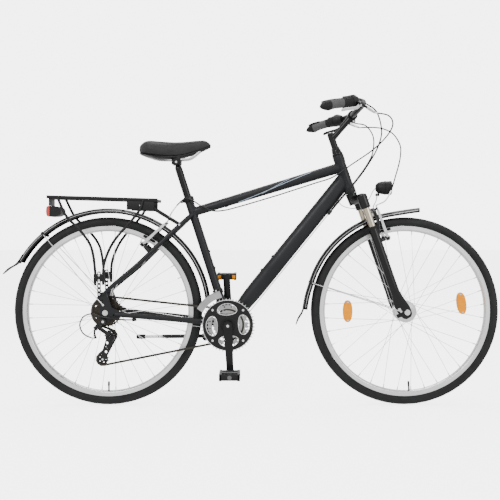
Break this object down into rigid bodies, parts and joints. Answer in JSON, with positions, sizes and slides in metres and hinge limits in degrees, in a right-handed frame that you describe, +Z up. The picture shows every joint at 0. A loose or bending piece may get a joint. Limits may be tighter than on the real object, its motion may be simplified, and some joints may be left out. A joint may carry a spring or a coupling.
{
  "type": "trekking bicycle",
  "caption": "Diamond-frame trekking bicycle with sprung fork, rim brakes, derailleur gears, mudguards, luggage rack, stand and lights.",
  "frame": {"origin": "on the ground under the bike, midway along its whole length and in its middle plane", "axes": "+X towards the front wheel, +Y to the rider's left, +Z up; the chain side is -Y"},
  "size_m": [1.8494, 0.6336, 1.1161],
  "materials": {
    "frame_paint": "matt graphite paint",
    "fork_paint": "gloss black paint",
    "black_alloy": "black anodised",
    "fork_steel": "satin steel stanchions and crown",
    "silver_alloy": "silver anodised",
    "bright_steel": "bright steel wire",
    "dark_steel": "browned steel",
    "tyre": "black rubber, slick shoulders",
    "rack_tube": "black powder coat",
    "guard_plastic": "gloss black",
    "control_plastic": "black",
    "lever_alloy": "black coated",
    "grip_rubber": "soft rubber",
    "cable_skin": "smooth black sheath",
    "saddle_cover": "grained vinyl",
    "red_lens": "red lens"
  },
  "bodies": {
    "frame": {"head_tube": "frame_paint", "top_tube": "frame_paint", "down_tube": "frame_paint", "seat_tube": "frame_paint", "chain_stays": "frame_paint", "seat_stays": "frame_paint", "seat_clamp": "black_alloy", "rear_axle": "bright_steel", "rear_mudguard": "guard_plastic", "rack": "rack_tube", "tail_light": "red_lens", "derailleur_hanger_knuckle": "black_alloy", "chain": "dark_steel", "rear_brake_cable": "cable_skin", "rear_shift_cable": "cable_skin", "front_shift_cable": "cable_skin", "light_wire": "cable_skin"},
    "seatpost": {"seatpost": "black_alloy"},
    "saddle": {"saddle_cushion": "saddle_cover", "saddle_base": "control_plastic"},
    "steering": {"fork_upper": "fork_steel", "stem": "black_alloy", "handlebar": "black_alloy", "grip_right": "grip_rubber", "grip_left": "grip_rubber", "control_bracket_right": "control_plastic", "control_bracket_left": "control_plastic", "front_brake_cable": "cable_skin"},
    "twist_grip_right": {"twist_grip_right": "grip_rubber"},
    "twist_grip_left": {"twist_grip_left": "grip_rubber"},
    "brake_lever_right": {"brake_lever_right": "lever_alloy"},
    "brake_lever_left": {"brake_lever_left": "lever_alloy"},
    "fork_lower": {"fork_lowers": "fork_paint", "front_mudguard": "guard_plastic", "headlight": "control_plastic"},
    "front_brake_arm_right": {"front_brake_arm_right": "silver_alloy"},
    "front_brake_arm_left": {"front_brake_arm_left": "silver_alloy"},
    "rear_brake_arm_right": {"rear_brake_arm_right": "silver_alloy"},
    "rear_brake_arm_left": {"rear_brake_arm_left": "silver_alloy"},
    "front_wheel": {"front_tyre": "tyre", "front_rim": "silver_alloy", "front_spokes": "bright_steel", "front_hub": "silver_alloy"},
    "rear_wheel": {"rear_tyre": "tyre", "rear_rim": "silver_alloy", "rear_spokes": "bright_steel", "rear_hub": "silver_alloy"},
    "cassette": {"cassette": "dark_steel"},
    "crank": {"crank_right": "black_alloy", "crank_left": "black_alloy", "chain_guard": "guard_plastic"},
    "pedal_right": {"pedal_right": "control_plastic"},
    "pedal_left": {"pedal_left": "control_plastic"},
    "derailleur_link": {"derailleur_link": "black_alloy"},
    "derailleur_body": {"derailleur_body": "black_alloy"},
    "derailleur_cage": {"derailleur_cage": "black_alloy"},
    "guide_pulley": {"guide_pulley": "control_plastic"},
    "tension_pulley": {"tension_pulley": "control_plastic"},
    "front_derailleur": {"front_derailleur_cage": "black_alloy"},
    "kickstand": {"kickstand": "black_alloy"}
  },
  "joints": [
    {"name": "steering", "type": "hinge", "parent": "frame", "child": "steering", "pos_m": [0.37327, 0, 0.78926], "axis": [-0.3305, 0, 0.9438], "range_deg": [-60, 60], "deforming": ["rear_brake_cable", "rear_shift_cable", "front_shift_cable", "light_wire"]},
    {"name": "fork_travel", "type": "slide", "parent": "steering", "child": "fork_lower", "axis": [-0.3305, 0, 0.9438], "range_m": [0, 0.05], "stiffness_N_per_m": 6000, "deforming": ["front_brake_cable"]},
    {"name": "front_wheel", "type": "hinge", "parent": "fork_lower", "child": "front_wheel", "pos_m": [0.57425, 0, 0.35], "axis": [0, 1, 0], "continuous": true},
    {"name": "rear_wheel", "type": "hinge", "parent": "frame", "child": "rear_wheel", "pos_m": [-0.53075, 0, 0.35], "axis": [0, 1, 0], "continuous": true},
    {"name": "crank", "type": "hinge", "parent": "frame", "child": "crank", "pos_m": [-0.08375, 0, 0.303], "axis": [0, 1, 0], "continuous": true},
    {"name": "cassette", "type": "hinge", "parent": "frame", "child": "cassette", "pos_m": [-0.53075, 0, 0.35], "axis": [0, 1, 0], "continuous": true},
    {"name": "pedal_right", "type": "hinge", "parent": "crank", "child": "pedal_right", "pos_m": [-0.07515, -0.13, 0.13322], "axis": [0, 1, 0], "continuous": true},
    {"name": "pedal_left", "type": "hinge", "parent": "crank", "child": "pedal_left", "pos_m": [-0.09235, 0.13, 0.47278], "axis": [0, 1, 0], "continuous": true},
    {"name": "tension_pulley", "type": "hinge", "parent": "derailleur_cage", "child": "tension_pulley", "pos_m": [-0.54735, -0.031, 0.1748], "axis": [0, 1, 0], "continuous": true},
    {"name": "guide_pulley", "type": "hinge", "parent": "derailleur_cage", "child": "guide_pulley", "pos_m": [-0.51875, -0.031, 0.262], "axis": [0, 1, 0], "continuous": true},
    {"name": "twist_grip_right", "type": "hinge", "parent": "steering", "child": "twist_grip_right", "pos_m": [0.33865, -0.22757, 1.09002], "axis": [-0.8153, -0.5529, -0.1719], "range_deg": [0, 120]},
    {"name": "brake_lever_right", "type": "hinge", "parent": "steering", "child": "brake_lever_right", "pos_m": [0.37186, -0.23865, 1.07872], "axis": [0.1379, -0.4737, 0.8698], "range_deg": [-15, 0], "stiffness_Nm_per_rad": 1.5},
    {"name": "twist_grip_left", "type": "hinge", "parent": "steering", "child": "twist_grip_left", "pos_m": [0.33865, 0.22757, 1.09002], "axis": [-0.8153, 0.5529, -0.1719], "range_deg": [0, 120]},
    {"name": "brake_lever_left", "type": "hinge", "parent": "steering", "child": "brake_lever_left", "pos_m": [0.37186, 0.23865, 1.07872], "axis": [-0.1379, -0.4737, -0.8698], "range_deg": [-15, 0], "stiffness_Nm_per_rad": 1.5},
    {"name": "derailleur_link", "type": "hinge", "parent": "frame", "child": "derailleur_link", "pos_m": [-0.56075, -0.081, 0.303], "axis": [0.6364, 0, 0.7714], "range_deg": [-31.6, 0], "deforming": ["chain", "rear_shift_cable"]},
    {"name": "derailleur_body", "type": "hinge", "parent": "derailleur_link", "child": "derailleur_body", "pos_m": [-0.52075, -0.061, 0.27], "axis": [0.6364, 0, 0.7714], "range_deg": [0, 31.6], "deforming": ["chain"]},
    {"name": "derailleur_cage", "type": "hinge", "parent": "derailleur_body", "child": "derailleur_cage", "pos_m": [-0.50985, -0.031, 0.2556], "axis": [0, 1, 0], "range_deg": [-20, 15], "stiffness_Nm_per_rad": 0.8, "deforming": ["chain"]},
    {"name": "front_derailleur", "type": "slide", "parent": "frame", "child": "front_derailleur", "axis": [0, -1, 0], "range_m": [0, 0.014], "deforming": ["chain", "front_shift_cable"]},
    {"name": "front_brake_arm_right", "type": "hinge", "parent": "fork_lower", "child": "front_brake_arm_right", "pos_m": [0.50432, -0.042, 0.62381], "axis": [0.9438, 0, 0.3305], "range_deg": [-4.02, 0], "deforming": ["front_brake_cable"]},
    {"name": "front_brake_arm_left", "type": "hinge", "parent": "fork_lower", "child": "front_brake_arm_left", "pos_m": [0.50432, 0.042, 0.62381], "axis": [0.9438, 0, 0.3305], "range_deg": [0, 4.02], "deforming": ["front_brake_cable"]},
    {"name": "rear_brake_arm_right", "type": "hinge", "parent": "frame", "child": "rear_brake_arm_right", "pos_m": [-0.39748, -0.042, 0.6007], "axis": [-0.6756, 0, 0.7373], "range_deg": [0, 4.02], "deforming": ["rear_brake_cable"]},
    {"name": "rear_brake_arm_left", "type": "hinge", "parent": "frame", "child": "rear_brake_arm_left", "pos_m": [-0.39748, 0.042, 0.6007], "axis": [-0.6756, 0, 0.7373], "range_deg": [-4.02, 0], "deforming": ["rear_brake_cable"]},
    {"name": "seatpost", "type": "slide", "parent": "frame", "child": "seatpost", "axis": [-0.304, 0, 0.9527], "range_m": [-0.06, 0.05]},
    {"name": "saddle_tilt", "type": "hinge", "parent": "seatpost", "child": "saddle", "pos_m": [-0.27529, 0, 0.90318], "axis": [0, 1, 0], "range_deg": [-10, 10]},
    {"name": "kickstand", "type": "hinge", "parent": "frame", "child": "kickstand", "pos_m": [-0.17375, 0.0455, 0.2505], "axis": [-0.1715, 0.9765, 0.1305], "range_deg": [-98, 0]}
  ],
  "couplings": [
    {"joint": "cassette", "follows": "crank", "ratio": 1},
    {"joint": "tension_pulley", "follows": "crank", "ratio": 2.5455},
    {"joint": "guide_pulley", "follows": "crank", "ratio": -2.5455},
    {"joint": "derailleur_link", "follows": "twist_grip_right", "ratio": -0.2625},
    {"joint": "derailleur_body", "follows": "twist_grip_right", "ratio": 0.2625},
    {"joint": "front_derailleur", "follows": "twist_grip_left", "m_per_rad": 0.006678},
    {"joint": "front_brake_arm_right", "follows": "brake_lever_left", "ratio": 0.26667},
    {"joint": "front_brake_arm_left", "follows": "brake_lever_left", "ratio": -0.26667},
    {"joint": "rear_brake_arm_right", "follows": "brake_lever_right", "ratio": -0.26667},
    {"joint": "rear_brake_arm_left", "follows": "brake_lever_right", "ratio": 0.26667}
  ]
}
